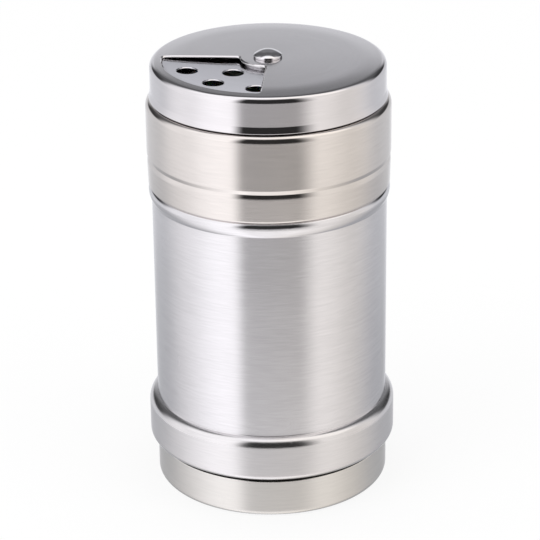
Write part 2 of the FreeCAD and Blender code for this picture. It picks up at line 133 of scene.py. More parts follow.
def newShapeTree(name, sizes):
    # a geometry tree with the named inputs, a bench to fill it, and what it is given
    tree = bpy.data.node_groups.new(name, "GeometryNodeTree")
    tree.interface.new_socket(name="Geometry", in_out="INPUT", socket_type="NodeSocketGeometry")
    for label, kind in sizes:
        tree.interface.new_socket(name=label, in_out="INPUT", socket_type="NodeSocket" + kind)
    tree.interface.new_socket(name="Geometry", in_out="OUTPUT", socket_type="NodeSocketGeometry")
    bench = Bench(tree)
    entry = tree.nodes.new("NodeGroupInput")
    given = {socket.name: Wire(bench, socket) for socket in entry.outputs if socket.name}
    return tree, bench, given


def closeShapeTree(bench, shape, material):
    smoothed = bench.add("GeometryNodeSetShadeSmooth", None, {"Geometry": shape})
    single = bench.add("GeometryNodeRealizeInstances", None, {"Geometry": smoothed})
    finished = bench.add("GeometryNodeSetMaterial", None, {"Geometry": single, "Material": material})
    exitNode = bench.tree.nodes.new("NodeGroupOutput")
    bench.tree.links.new(finished.socket, exitNode.inputs[0])


def runShapeTree(name, tree, source, values):
    # the plain mesh that the tree makes of the source mesh
    carrier = bpy.data.objects.new(name + "_carrier", source)
    bpy.context.scene.collection.objects.link(carrier)
    modifier = carrier.modifiers.new("shape", "NODES")
    modifier.node_group = tree
    for item in tree.interface.items_tree:
        if item.in_out == "INPUT" and item.name in values:
            modifier[item.identifier] = values[item.name]
    carrier.update_tag()
    bpy.context.view_layer.update()
    evaluated = carrier.evaluated_get(bpy.context.evaluated_depsgraph_get())
    mesh = bpy.data.meshes.new_from_object(evaluated)
    mesh.name = name
    carrier.modifiers.remove(modifier)
    bpy.data.objects.remove(carrier)
    return mesh


def pointMesh(name, points, **values):
    # loose points with one number each for every named value
    mesh = bpy.data.meshes.new(name)
    mesh.from_pydata([tuple(point) for point in points], [], [])
    for label, numbers in values.items():
        attribute = mesh.attributes.new(label, "FLOAT", "POINT")
        attribute.data.foreach_set("value", [float(number) for number in numbers])
    return mesh


def buildTurningTree():
    # turns a row of points (radius, 0, height) round the axis; where threadPull is 1 or -1,
    # the surface is pushed out or in along a thread that climbs from +X
    tree, bench, given = newShapeTree("turnedPiece", [
        ("Segments", "Int"), ("Thread Depth", "Float"), ("Thread Lead", "Float"),
        ("Thread Start", "Float"), ("Thread Turns", "Float"), ("Root Width", "Float"),
        ("Crest Width", "Float"), ("Run Out", "Float"), ("Weld Gap", "Float"),
        ("Material", "Material")])
    outline = given["Geometry"]
    count = bench.add("GeometryNodeAttributeDomainSize", None, {"Geometry": outline})
    grid = bench.add("GeometryNodeMeshGrid", None,
                     {"Vertices X": given["Segments"] + 1, "Vertices Y": count})
    index = bench.add("GeometryNodeInputIndex")
    ring = bench.maths("FLOOR", (index + 0.5) / count)
    place = index - ring * count
    turn = ring / given["Segments"]

    radius, _, height = bench.parts(bench.placeAt(outline, place))
    pull = bench.numberAt(outline, place, "threadPull")

    climbed = (height - given["Thread Start"]) / given["Thread Lead"]
    wound = turn + bench.maths("ROUND", climbed - turn)
    aside = bench.maths("ABSOLUTE", (climbed - wound) * given["Thread Lead"])
    ridge = bench.smooth(aside, given["Crest Width"] / 2, given["Root Width"] / 2, 1.0, 0.0)
    begun = bench.smooth(wound, 0.0, given["Run Out"])
    left = bench.smooth(given["Thread Turns"] - wound, 0.0, given["Run Out"])
    pushed = radius + pull * given["Thread Depth"] * ridge * begun * left

    angle = turn * math.tau
    x = pushed * bench.maths("COSINE", angle)
    y = pushed * bench.maths("SINE", angle)
    turned = bench.add("GeometryNodeSetPosition", None,
                       {"Geometry": grid, "Position": bench.vector(x, y, height)})
    welded = bench.add("GeometryNodeMergeByDistance", None,
                       {"Geometry": turned, "Distance": given["Weld Gap"]})
    closeShapeTree(bench, welded, given["Material"])
    return tree


def buildHoleTree():
    # a bevelled edge round each hole of the sprinkle plate: one point for each hole gives its
    # place, holeRadius its size; Section is a row of points (margin, 0, minus the drop)
    tree, bench, given = newShapeTree("holeEdges", [
        ("Section", "Object"), ("Facets", "Int"), ("Seat Radius", "Float"),
        ("Seat Height", "Float"), ("Dish Radius", "Float"), ("Weld Gap", "Float"),
        ("Material", "Material")])
    section = bench.add("GeometryNodeObjectInfo", None, {"Object": given["Section"]}, "Geometry")
    rows = bench.add("GeometryNodeAttributeDomainSize", None, {"Geometry": section})
    grid = bench.add("GeometryNodeMeshGrid", None,
                     {"Vertices X": given["Facets"] + 1, "Vertices Y": rows})
    copies = bench.add("GeometryNodeInstanceOnPoints", None,
                       {"Points": given["Geometry"], "Instance": grid})
    single = bench.add("GeometryNodeRealizeInstances", None, {"Geometry": copies})

    index = bench.add("GeometryNodeInputIndex")
    each = (given["Facets"] + 1) * rows
    hole = bench.maths("FLOOR", (index + 0.5) / each)
    inside = index - hole * each
    facet = bench.maths("FLOOR", (inside + 0.5) / rows)
    row = inside - facet * rows
    centreX, centreY, _ = bench.parts(bench.placeAt(given["Geometry"], hole))
    margin, _, drop = bench.parts(bench.placeAt(section, row))
    reach = bench.numberAt(given["Geometry"], hole, "holeRadius") + margin
    angle = facet / given["Facets"] * math.tau
    x = centreX + reach * bench.maths("COSINE", angle)
    y = centreY + reach * bench.maths("SINE", angle)
    run = bench.maths("SQRT", x * x + y * y) - given["Seat Radius"]
    dish = given["Dish Radius"]
    rise = dish - bench.maths("SQRT", dish * dish - run * run)
    placed = bench.add("GeometryNodeSetPosition", None, {
        "Geometry": single,
        "Position": bench.vector(x, y, given["Seat Height"] + rise + drop)})
    welded = bench.add("GeometryNodeMergeByDistance", None,
                       {"Geometry": placed, "Distance": given["Weld Gap"]})
    closeShapeTree(bench, welded, given["Material"])
    return tree


turningTree = buildTurningTree()
holeTree = buildHoleTree()
print("shape trees ready")


# Outlines

def corner(r, z, rounding=None, bow=None, spacing=None, pull=0.0):
    # rounding rounds this corner; bow, spacing and pull belong to the run to the next corner:
    # an arc's radius (positive to the right of the way), points this far apart, thread share
    return SimpleNamespace(r=r, z=z, rounding=rounding, bow=bow, spacing=spacing, pull=pull)


def bowRadius(run, rise):
    # radius of an arc that leaves one end along the run and meets the other after the rise
    return (run * run + rise * rise) / (2 * rise)


def mainWay(here, there):
    if abs(there.r - here.r) > abs(there.z - here.z):
        return (1 if there.r > here.r else -1, 0)
    return (0, 1 if there.z > here.z else -1)


tightestFold = 0.08  # least rounding on the inside of a fold


def sheetSides(skin, wall):
    # the outer skin and the inner one, a wall to its left, in the same order
    inner = []
    last = len(skin) - 1
    for i, point in enumerate(skin):
        before = mainWay(skin[i - 1], point) if i > 0 else None
        after = mainWay(point, skin[i + 1]) if i < last else None
        steps = {(-way[1], way[0]) for way in (before, after) if way}
        rounding = None
        if before and after and before != after and point.rounding is not None:
            turnsLeft = before[0] * after[1] - before[1] * after[0] > 0
            rounding = max(point.rounding + (-wall if turnsLeft else wall), tightestFold)
        inner.append(corner(point.r + wall * sum(step[0] for step in steps),
                            point.z + wall * sum(step[1] for step in steps), rounding))
    for i in range(last):
        inner[i + 1].bow = None if skin[i].bow is None else -skin[i].bow
        inner[i + 1].spacing = skin[i].spacing
        inner[i + 1].pull = skin[i].pull
    return skin, inner


def spun(arm, angle):
    return Vector((arm.x * math.cos(angle) - arm.y * math.sin(angle),
                   arm.x * math.sin(angle) + arm.y * math.cos(angle)))


def bowPoints(start, end, bow, spacing):
    # points between the two ends of an arc
    chord = end - start
    side = Vector((chord.y, -chord.x)).normalized() * (1 if bow > 0 else -1)
    radius = abs(bow)
    depth = math.sqrt(radius ** 2 - (chord.length / 2) ** 2)
    centre = (start + end) / 2 - side * depth
    first = start - centre
    sweep = first.angle_signed(end - centre)
    count = math.ceil(chord.length / spacing)
    return [centre + spun(first, -sweep * i / count) for i in range(1, count)]


def runEnds(start, end, bow):
    # the ways in which a run leaves its start and reaches its end
    chord = end - start
    if bow is None:
        return chord, chord
    swing = math.asin(chord.length / (2 * bow))
    return spun(chord, -swing), spun(chord, swing)


edgeBreak = 0.06  # rounding of an edge that has none of its own
finestTurn = math.radians(9)  # most that an outline turns at one point of a rounding
fewestSteps = 4  # for the smallest rounding
straight = math.radians(176)  # a corner wider than this isn't rounded
runShare = 0.98  # most of a run that the roundings at its ends may take
guard = 0.07  # a flat run keeps a point this close to each of its ends


def tracePath(corners, closed=True):
    # points (radius, height, thread share) along an outline whose corners are rounded
    count = len(corners)
    runs = range(count if closed else count - 1)
    spots = [Vector((point.r, point.z)) for point in corners]
    ways = [runEnds(spots[i], spots[(i + 1) % count], corners[i].bow) for i in range(count)]
    halves = []
    reaches = []
    for i, point in enumerate(corners):
        openEnd = not closed and i in (0, count - 1)
        bend = (-ways[i - 1][1]).angle(ways[i][0])
        plain = openEnd or spots[i].x == 0 or bend > straight
        rounding = edgeBreak if point.rounding is None else point.rounding
        halves.append(bend / 2)
        reaches.append(0.0 if plain else rounding / math.tan(bend / 2))
    spare = [1.0] * count
    for i in runs:
        after = (i + 1) % count
        used = (reaches[i] + reaches[after]) / (runShare * ways[i][0].length)
        if used > 1:
            spare[i] = min(spare[i], 1 / used)
            spare[after] = min(spare[after], 1 / used)

    ends = []
    for i in range(count):
        reach = reaches[i] * spare[i]
        if reach == 0:
            ends.append([spots[i]])
            continue
        before = -ways[i - 1][1].normalized()
        after = ways[i][0].normalized()
        radius = reach * math.tan(halves[i])
        centre = spots[i] + (before + after).normalized() * (radius / math.sin(halves[i]))
        first = spots[i] + before * reach - centre
        sweep = math.pi - 2 * halves[i]
        turnsLeft = before.x * after.y - before.y * after.x < 0
        steps = fewestSteps
        if radius > 3 * edgeBreak:
            steps = max(steps, math.ceil(sweep / finestTurn))
        ends.append([centre + spun(first, (sweep if turnsLeft else -sweep) * k / steps)
                     for k in range(steps + 1)])
    path = []
    for i, point in enumerate(corners):
        path += [(spot.x, spot.y, point.pull) for spot in ends[i]]
        if i not in runs:
            break
        start = ends[i][-1]
        end = ends[(i + 1) % count][0]
        if point.bow is not None:
            between = bowPoints(start, end, point.bow, point.spacing)
        else:
            length = (end - start).length
            shares = []
            if point.spacing:
                steps = math.ceil(length / point.spacing)
                shares = [k / steps for k in range(1, steps)]
            elif length > 4 * guard:
                shares = [guard / length, 0.5, 1 - guard / length]
            between = [start.lerp(end, share) for share in shares]
        path += [(spot.x, spot.y, point.pull) for spot in between]
    if closed:
        path.append(path[0])
    return path


noThread = dict(depth=0.0, lead=1.0, start=0.0, turns=1.0, rootWidth=1.0, crestWidth=0.5)
threadFade = 0.06  # part of a turn over which a thread rises and sinks at its ends


def turnOutline(name, path, material, thread=noThread):
    # the mesh of an outline turned round the axis
    source = pointMesh(name + "_outline", [(r * mm, 0, z * mm) for r, z, pull in path],
                       threadPull=[pull for r, z, pull in path])
    return runShapeTree(name, turningTree, source, {
        "Segments": segments,
        "Thread Depth": thread["depth"] * mm,
        "Thread Lead": thread["lead"] * mm,
        "Thread Start": thread["start"] * mm,
        "Thread Turns": thread["turns"],
        "Root Width": thread["rootWidth"] * mm,
        "Crest Width": thread["crestWidth"] * mm,
        "Run Out": threadFade,
        "Weld Gap": weldGap,
        "Material": material,
    })


def joinMeshes(name, meshes, material):
    # welds meshes that meet into one, with every face pointing outwards
    welded = bmesh.new()
    for mesh in meshes:
        welded.from_mesh(mesh)
    bmesh.ops.remove_doubles(welded, verts=welded.verts, dist=weldGap)
    bmesh.ops.recalc_face_normals(welded, faces=welded.faces)
    if welded.calc_volume(signed=True) < 0:
        bmesh.ops.reverse_faces(welded, faces=welded.faces)
    for face in welded.faces:
        face.smooth = True
        face.material_index = 0
    loose = sum(1 for edge in welded.edges if len(edge.link_faces) != 2)
    volume = welded.calc_volume(signed=True) / mm ** 3
    whole = bpy.data.meshes.new(name)
    welded.to_mesh(whole)
    welded.free()
    whole.materials.append(material)
    print("%-15s %6d faces, %8.2f mm3, %d loose edges"
          % (name, len(whole.polygons), volume, loose))
    return whole


def placePiece(name, mesh, node, body):
    piece = bpy.data.objects.new(name, mesh)
    bpy.context.scene.collection.objects.link(piece)
    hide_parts(node)
    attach(piece, body)


def makeTurned(name, node, settings, material, path, thread=noThread):
    # a piece that is one outline, turned
    turned = turnOutline(name + "Turned", path, material, thread)
    mesh = joinMeshes(name, [turned], material)
    placePiece(name, mesh, node, settings["body"])


# Finishes

# what every steel piece shares: its lines, nicks and worn bends, and how soft its borders are
brushing = dict(
    lineRoughness=0.6, fineDetail=2.0, broadDetail=3.0, cloudDetail=3.0, nickDetail=1.0,
    fineShare=0.35, broadShare=0.35, cloudShare=0.3, dullAt=0.36, brightAt=0.64,
    lineDepth=0.5, depth=0.02, acrossGrain=0.25, nickAcross=900.0, nickAlong=120.0,
    nickFrom=0.76, nickFull=0.80, nickRough=0.08, nickDepth=0.4, wornFrom=0.06, wornFull=0.25,
    flatFrom=0.93, flatFull=0.99, zoneSoft=0.3, cutSteep=0.55, cutFlat=0.75, cutSoft=0.1,
    # the cut tone is near-white, partly bare cut steel and partly painted highlight; the gap tone
    # after it is near-black painted shade for gaps between pieces
    cutRough=0.3, cutTone=(0.95, 0.945, 0.94, 1.0), paintedGapShadeSoft=0.05,
    paintedGapShadeTone=(0.02, 0.02, 0.02, 1.0))


def steelFinish(name, look):
    # round-brushed stainless steel: its lines follow the turning and change along r minus z.
    # A look may add a zone with its own tone above a height; a cut that paints the steep walls of
    # the openings within a radius and above a height a near-white, rougher tone, partly bare cut
    # steel and partly a painted highlight; and a gap shade, which is painted shade: a near-black
    # ring painted where a gap between pieces lies in shadow
    material = bpy.data.materials.new(name)
    material.use_nodes = True
    bench = Bench(material.node_tree)
    shader = material.node_tree.nodes["Principled BSDF"]
    place = bench.add("ShaderNodeTexCoord", None, None, "Object")
    x, y, z = bench.parts(place)
    r = bench.maths("SQRT", x * x + y * y)
    along = r - z

    def streaks(across, around, detail):
        # lines that follow the turning: so many per metre across them, and far fewer around
        lines = bench.vector(x * around, y * around, along * across)
        return bench.add("ShaderNodeTexNoise", None, {
            "Vector": lines, "Scale": 1.0, "Detail": detail,
            "Roughness": brushing["lineRoughness"]})

    def upTo(value, limit, soft, start=0.0, end=1.0):
        # from start to end over the soft stretch before the limit, in millimetres
        return bench.smooth(value, (limit - soft) * mm, limit * mm, start, end)

    def ringEdge(value, limit, start, end):
        soft = brushing["paintedGapShadeSoft"]
        return bench.smooth(value, (limit - soft) * mm, (limit + soft) * mm, start, end)

    def toned(colour):
        dull = [channel * look["dull"] for channel in colour]
        bright = [min(channel * look["bright"], 1.0) for channel in colour]
        return bench.mixColours(shade, dull + [1.0], bright + [1.0])

    fine = streaks(look["fineLines"], look["fineAround"], brushing["fineDetail"])
    broad = streaks(look["broadLines"], look["broadAround"], brushing["broadDetail"])
    cloud = bench.add("ShaderNodeTexNoise", None, {
        "Vector": place, "Scale": look["clouds"], "Detail": brushing["cloudDetail"]})
    across = brushing["nickAcross"]
    nick = bench.add("ShaderNodeTexNoise", None, {
        "Vector": bench.vector(x * across, y * across, z * brushing["nickAlong"]),
        "Scale": 1.0, "Detail": brushing["nickDetail"]})
    scratch = bench.smooth(nick, brushing["nickFrom"], brushing["nickFull"])
    shade = bench.smooth(
        brushing["fineShare"] * fine + brushing["broadShare"] * broad
        + brushing["cloudShare"] * cloud, brushing["dullAt"], brushing["brightAt"])

    # bends and rims, which face neither sideways nor straight up, are rubbed smooth
    facing = bench.add("ShaderNodeTexCoord", None, None, "Normal")
    level = bench.maths("ABSOLUTE", bench.parts(facing)[2])
    worn = bench.smooth(level, brushing["wornFrom"], brushing["wornFull"]) \
        * bench.smooth(level, brushing["flatFrom"], brushing["flatFull"], 1.0, 0.0)

    tone = toned(look["colour"])
    rough = look["roughness"] + (fine - 0.5) * look["grain"] + (cloud - 0.5) * look["smear"]
    rough = rough - worn * look["wear"] + scratch * brushing["nickRough"]
    if "zone" in look:
        zone = look["zone"]
        inZone = upTo(z, zone["start"], brushing["zoneSoft"])
        tone = bench.mixColours(inZone, tone, toned(zone["colour"]))
        rough = rough + inZone * zone["rough"]
    # steep walls of the openings painted near-white and rougher: partly bare cut steel, partly
    # painted highlight
    if "cut" in look:
        cut = bench.smooth(level, brushing["cutSteep"], brushing["cutFlat"], 1.0, 0.0) \
            * upTo(r, look["cut"]["reach"], brushing["cutSoft"], 1.0, 0.0) \
            * upTo(z, look["cut"]["start"], brushing["cutSoft"])
        tone = bench.mixColours(cut, tone, brushing["cutTone"])
        rough = rough + cut * brushing["cutRough"]
    # painted shade: a near-black ring painted where the gap between pieces lies in shadow
    if "paintedGapShade" in look:
        paintedGapShade = look["paintedGapShade"]
        inPaintedGapShade = ringEdge(z, paintedGapShade["low"], 0.0, 1.0) * ringEdge(z, paintedGapShade["high"], 1.0, 0.0) \
            * ringEdge(r, paintedGapShade["reach"], 1.0, 0.0)
        tone = bench.mixColours(inPaintedGapShade, tone, brushing["paintedGapShadeTone"])
    bench.tree.links.new(tone.socket, shader.inputs["Base Color"])
    bench.tree.links.new(rough.socket, shader.inputs["Roughness"])
    height = (fine + broad) * brushing["lineDepth"] - scratch * brushing["nickDepth"]
    bump = bench.add("ShaderNodeBump", None, {
        "Height": height, "Strength": look["bump"], "Distance": brushing["depth"] * mm})
    bench.tree.links.new(bump.socket, shader.inputs["Normal"])
    shader.inputs["Metallic"].default_value = 1.0
    shader.inputs["Anisotropic"].default_value = look["anisotropy"]
    shader.inputs["Anisotropic Rotation"].default_value = brushing["acrossGrain"]
    return material


moulding = dict(
    toothRough=0.12, flowRough=0.1, toothDepth=0.7, flowDepth=0.3, depth=0.03, bleed=1.0,
    toothDetail=2.0, flowDetail=4.0, flowBend=0.8, dullAt=0.3, brightAt=0.7)


def mouldedFinish(name, look):
    # moulded plastic or silicone: fine tooth, faint flow marks, a little light under the skin
    material = bpy.data.materials.new(name)
    material.use_nodes = True
    bench = Bench(material.node_tree)
    shader = material.node_tree.nodes["Principled BSDF"]
    place = bench.add("ShaderNodeTexCoord", None, None, "Object")
    tooth = bench.add("ShaderNodeTexNoise", None, {
        "Vector": place, "Scale": look["tooth"], "Detail": moulding["toothDetail"]})
    flow = bench.add("ShaderNodeTexNoise", None, {
        "Vector": place, "Scale": look["flow"], "Detail": moulding["flowDetail"],
        "Distortion": moulding["flowBend"]})
    shade = bench.smooth(flow, moulding["dullAt"], moulding["brightAt"])
    bench.tree.links.new(
        bench.mixColours(shade, look["shadowTone"] + [1.0], look["colour"] + [1.0]).socket,
        shader.inputs["Base Color"])
    rough = look["roughness"] + (tooth - 0.5) * moulding["toothRough"] \
        + (flow - 0.5) * moulding["flowRough"]
    bench.tree.links.new(rough.socket, shader.inputs["Roughness"])
    height = tooth * moulding["toothDepth"] + flow * moulding["flowDepth"]
    bump = bench.add("ShaderNodeBump", None, {
        "Height": height, "Strength": look["bump"], "Distance": moulding["depth"] * mm})
    bench.tree.links.new(bump.socket, shader.inputs["Normal"])
    shader.inputs["Subsurface Weight"].default_value = look["depth"]
    shader.inputs["Subsurface Scale"].default_value = moulding["bleed"] * mm
    return material


# Can and base

wall = 0.4  # steel sheet

can = dict(
    radius=23.7, bulgeRadius=25.4, bulgeBottom=8.8, bulgeTop=18.1, lipInner=23.95,
    lipRound=1.2, shoulderStart=16.15, beadRadius=24.3, beadBottom=61.3, beadMiddle=63.25,
    beadTopRound=1.2, neckRadius=21.9, top=76.0, mouthRoll=1.3, mouthDrop=1.2, mouthRound=0.6,
    crease=0.1, bendSpacing=0.15, beadSpacing=0.2, body="can", slot="can_steel")

canThread = dict(depth=0.8, lead=4.0, start=67.2, turns=1.5, rootWidth=2.4, crestWidth=1.2)
threadSpacing = 0.16  # rows of points where a thread is rolled

canLook = dict(
    colour=(0.715, 0.698, 0.704), dull=0.96, bright=1.03, roughness=0.29, grain=0.06, smear=0.04,
    wear=0.10, bump=0.013, anisotropy=0.55, fineLines=5200.0, fineAround=260.0,
    broadLines=2600.0, broadAround=130.0, clouds=95.0,
    # painted shade on the underside of the bulge's lip, where it meets the base
    paintedGapShade=dict(low=8.5, high=9.6, reach=25.1),
    zone=dict(start=18.3, colour=(0.72, 0.706, 0.724), rough=-0.06))


def makeCan():
    shoulderBow = bowRadius(can["bulgeTop"] - can["shoulderStart"],
                            can["bulgeRadius"] - can["radius"])
    halfWay = math.radians(45)  # the shoulder's arc is drawn in two runs
    beadOut = can["beadRadius"] - can["radius"]
    skin = [
        corner(can["lipInner"], can["bulgeBottom"]),
        corner(can["bulgeRadius"], can["bulgeBottom"], can["lipRound"]),
        corner(can["bulgeRadius"], can["shoulderStart"], bow=shoulderBow,
               spacing=can["bendSpacing"]),
        corner(can["bulgeRadius"] - shoulderBow * (1 - math.cos(halfWay)),
               can["shoulderStart"] + shoulderBow * math.sin(halfWay), bow=shoulderBow,
               spacing=can["bendSpacing"]),
        corner(can["radius"], can["bulgeTop"], can["crease"]),
        corner(can["radius"], can["beadBottom"], can["crease"],
               bow=bowRadius(can["beadMiddle"] - can["beadBottom"], beadOut),
               spacing=can["beadSpacing"]),
        corner(can["beadRadius"], can["beadMiddle"]),
        corner(can["beadRadius"], can["beadMiddle"] + can["beadTopRound"], can["beadTopRound"]),
        corner(can["neckRadius"], can["beadMiddle"] + can["beadTopRound"], can["crease"],
               spacing=threadSpacing, pull=1.0),
        corner(can["neckRadius"], can["top"], can["mouthRound"]),
        corner(can["neckRadius"] - can["mouthRoll"], can["top"], can["mouthRound"]),
        corner(can["neckRadius"] - can["mouthRoll"], can["top"] - can["mouthDrop"]),
    ]
    outer, inner = sheetSides(skin, wall)
    makeTurned("canWall", "can_wall", can, steelFinish("canBrushedSteel", canLook),
               tracePath(outer + inner[::-1]), canThread)


base = dict(
    radius=23.85, footRound=1.2, ringInner=20.5, ringRound=0.8, recess=1.6, recessRound=0.6,
    grooveBottom=8.05, grooveRadius=23.2, edgeRound=0.16, flange=9.2, rimRadius=24.95,
    rimRound=0.85, rimTop=15.5, body="can", slot="base_steel")

baseLook = dict(
    colour=(0.69, 0.668, 0.643), dull=0.96, bright=1.03, roughness=0.29, grain=0.06, smear=0.04,
    wear=0.05, bump=0.013, anisotropy=0.55, fineLines=5200.0, fineAround=260.0,
    broadLines=2300.0, broadAround=130.0, clouds=95.0,
    # painted shade in the groove under the can's lip and on the rim hidden above it
    paintedGapShade=dict(low=8.10, high=15.0, reach=25.0))


def makeBase():
    skin = [
        corner(0.0, base["recess"]),
        corner(base["ringInner"], base["recess"], base["recessRound"]),
        corner(base["ringInner"], 0.0, base["ringRound"]),
        corner(base["radius"], 0.0, base["footRound"]),
        corner(base["radius"], base["grooveBottom"], base["edgeRound"]),
        corner(base["grooveRadius"], base["grooveBottom"]),
        corner(base["grooveRadius"], base["flange"]),
        corner(base["rimRadius"], base["flange"], base["rimRound"]),
        corner(base["rimRadius"], base["rimTop"]),
    ]
    outer, inner = sheetSides(skin, wall)
    makeTurned("baseCup", "base_cup", base, steelFinish("baseBrushedSteel", baseLook),
               tracePath(outer + inner[::-1], closed=False))


makeCan()
makeBase()
print("can and base made")


# Pressed sheets with openings

def circleOpening(centre, radius, count):
    # pairs of a point on the edge and the way from it into the metal
    ways = [Vector((math.cos(math.tau * k / count), math.sin(math.tau * k / count)))
            for k in range(count)]
    return [(Vector(centre) + way * radius, way) for way in ways]


def sectorOpening(sector):
    # a window between two arcs and two radial edges, its corners rounded
    half = math.radians(sector["angle"]) / 2
    rounding = sector["rounding"]
    pairs = []

    def addArc(centre, radius, start, end, inward=False):
        steps = max(fewestSteps, math.ceil(abs(end - start) * radius / sector["spacing"]))
        for k in range(steps):
            angle = start + (end - start) * k / steps
            way = Vector((math.cos(angle), math.sin(angle)))
            pairs.append((centre + way * radius, -way if inward else way))

    def filletCentre(distance, side):
        # a point that far from the axis and one rounding inside a radial edge
        along = math.sqrt(distance ** 2 - rounding ** 2)
        edge = Vector((math.cos(half), math.sin(half)))
        inside = Vector((edge.y, -edge.x))
        spot = edge * along + inside * rounding
        return Vector((spot.x, spot.y * side))

    outerHigh = filletCentre(sector["outer"] - rounding, 1)
    outerLow = filletCentre(sector["outer"] - rounding, -1)
    innerHigh = filletCentre(sector["inner"] + rounding, 1)
    innerLow = filletCentre(sector["inner"] + rounding, -1)
    reach = math.atan2(outerHigh.y, outerHigh.x)
    start = math.atan2(innerHigh.y, innerHigh.x)
    quarter = math.pi / 2
    addArc(Vector((0, 0)), sector["outer"], -reach, reach)
    addArc(outerHigh, rounding, reach, half + quarter)
    sideSteps = math.ceil((outerHigh - innerHigh).length / sector["spacing"])
    for k in range(sideSteps):
        way = Vector((-math.sin(half), math.cos(half)))
        pairs.append((outerHigh.lerp(innerHigh, k / sideSteps) + way * rounding, way))
    addArc(innerHigh, rounding, half + quarter, start + math.pi)
    addArc(Vector((0, 0)), sector["inner"], start, -start, inward=True)
    addArc(innerLow, rounding, -start - math.pi, -half - quarter)
    for k in range(sideSteps):
        way = Vector((-math.sin(half), -math.cos(half)))
        pairs.append((innerLow.lerp(outerLow, k / sideSteps) + way * rounding, way))
    addArc(outerLow, rounding, -half - quarter, -reach)
    middle = math.radians(sector["middle"])
    spin = Quaternion((0, 0, 1), middle).to_matrix().to_2x2()
    return [(spin @ spot, spin @ way) for spot, way in pairs]


def edgeSection(bevel):
    # (margin, drop) rows of a sheet's edge: a bevel above, a wall, and a rounding below
    start = 1.0  # keeps the outline clear of the axis
    overlap = dict(above=0.1, below=0.02)  # how far the rows run on along the sheet
    corners = [
        corner(start + bevel["width"] + overlap["above"], 0.0),
        corner(start + bevel["width"], 0.0, bevel["rounding"]),
        corner(start, -bevel["depth"], bevel["rounding"]),
        corner(start, -wall, bevel["lower"]),
        corner(start + bevel["lower"] + overlap["below"], -wall),
    ]
    return [(r - start, -z) for r, z, pull in tracePath(corners, closed=False)]


def inLoop(spot, loop):
    inside = False
    for i, point in enumerate(loop):
        before = loop[i - 1]
        if (point.y > spot.y) != (before.y > spot.y):
            share = (spot.y - point.y) / (before.y - point.y)
            inside ^= spot.x < point.x + share * (before.x - point.x)
    return inside


sheetSpacing = 1.0  # between the points of a sheet's face
clearShare = 0.6  # of that spacing, kept free beside an opening
samePoint = 1e-7  # points closer than this are one to the triangulation


def sheetFace(outer, openings, margins, heightAt):
    # the triangles of one side of a sheet, between its outer ring and its openings
    ring = [way * outer for spot, way in circleOpening((0, 0), outer, segments)]
    gaps = [[spot + way * margin for spot, way in opening]
            for opening, margin in zip(openings, margins)]
    points = []
    edges = []
    for loop in [ring] + gaps:
        first = len(points)
        points += loop
        edges += [(first + k, first + (k + 1) % len(loop)) for k in range(len(loop))]
    middles = [sum(loop, Vector((0, 0))) / len(loop) for loop in gaps]
    reaches = [max((spot - middle).length for spot in loop)
               for middle, loop in zip(middles, gaps)]

    def blocked(spot, clear):
        # in an opening, or nearer to its edge than clear
        for middle, reach, loop in zip(middles, reaches, gaps):
            if (spot - middle).length < reach + clear:
                if inLoop(spot, loop) or min((spot - point).length for point in loop) < clear:
                    return True
        return False

    radius = outer - sheetSpacing
    while radius > sheetSpacing:
        count = math.ceil(math.tau * radius / sheetSpacing)
        for spot, way in circleOpening((0, 0), radius, count):
            if not blocked(spot, clearShare * sheetSpacing):
                points.append(spot)
        radius -= sheetSpacing
    spots, _, faces, *rest = delaunay_2d_cdt(points, edges, [], 0, samePoint)
    kept = [face for face in faces
            if not blocked(sum((spots[k] for k in face), Vector((0, 0))) / len(face), 0.0)]
    mesh = bpy.data.meshes.new("sheetFace")
    mesh.from_pydata([(spot.x * mm, spot.y * mm, heightAt(spot.length) * mm) for spot in spots],
                     [], kept)
    return mesh


def bothFaces(outer, openings, sections, heightAt):
    # the upper and the lower face of a sheet
    return [
        sheetFace(outer, openings, [rows[0][0] for rows in sections], heightAt),
        sheetFace(outer, openings, [rows[-1][0] for rows in sections],
                  lambda r: heightAt(r) - wall),
    ]


def edgeWall(opening, rows, heightAt):
    # the wall of an opening, from the upper face to the lower one
    points = []
    for margin, drop in rows:
        for spot, way in opening:
            place = spot + way * margin
            points.append((place.x * mm, place.y * mm, (heightAt(place.length) - drop) * mm))
    count = len(opening)
    faces = [(row * count + k, row * count + (k + 1) % count,
              (row + 1) * count + (k + 1) % count, (row + 1) * count + k)
             for row in range(len(rows) - 1) for k in range(count)]
    mesh = bpy.data.meshes.new("edgeWall")
    mesh.from_pydata(points, [], faces)
    return mesh


# Lid

lid = dict(
    bottom=64.3, edgeInner=23.57, edgeRound=0.55, footRadius=24.3, bandRadius=24.42,
    stepBottom=69.3, stepMiddle=70.35, stepTop=71.15, stepDepth=0.3, stepRound=0.6,
    stepSpacing=0.12, collarRadius=24.5, shoulder=82.3, shoulderRound=1.45, bossRadius=21.5,
    bossFootRound=0.3, bossTopRound=0.8, flatMargin=0.15, plateEdge=89.52, dish=0.3,
    seatRadius=5.4, bore=1.5, body="lid", slot="lid_steel")

plateReach = lid["bossRadius"] - lid["bossTopRound"] - lid["flatMargin"]
dishRadius = bowRadius(plateReach - lid["seatRadius"], lid["dish"])
holeEdge = dict(width=0.18, depth=0.15, rounding=0.03, lower=0.05, facets=40)
boreEdge = dict(width=0.06, depth=0.06, rounding=0.02, lower=0.05, facets=48)

